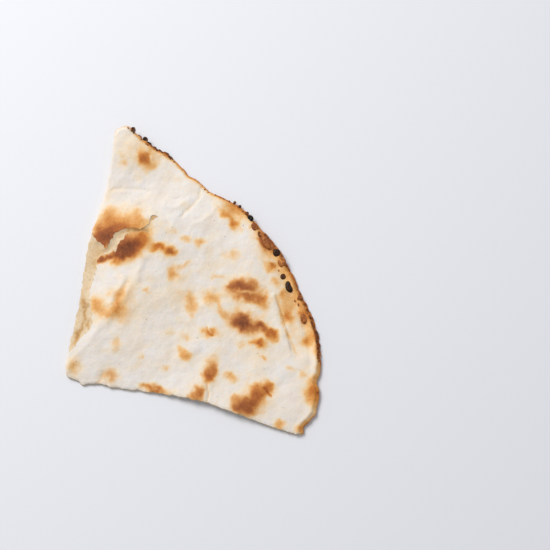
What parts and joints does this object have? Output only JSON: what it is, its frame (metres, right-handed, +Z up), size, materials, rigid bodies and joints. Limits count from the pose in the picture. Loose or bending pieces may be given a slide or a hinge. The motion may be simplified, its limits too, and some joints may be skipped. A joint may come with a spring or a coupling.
{
  "type": "naan bread quarter",
  "caption": "Quarter cut from a large thin naan, with straight cut edges, a round charred rim, toasted blisters and a torn top skin.",
  "frame": {"origin": "on the table under the middle of the piece's box; the bread lies flat with its baked side up", "axes": "+Z up, +X along the lower cut edge away from the point, +Y along the left cut edge away from the point"},
  "size_m": [0.1594, 0.163, 0.0089],
  "materials": {
    "crust": "dry matt baked dough, toasted in spots"
  },
  "bodies": {
    "root": {"naan_quarter": "crust"}
  },
  "joints": []
}
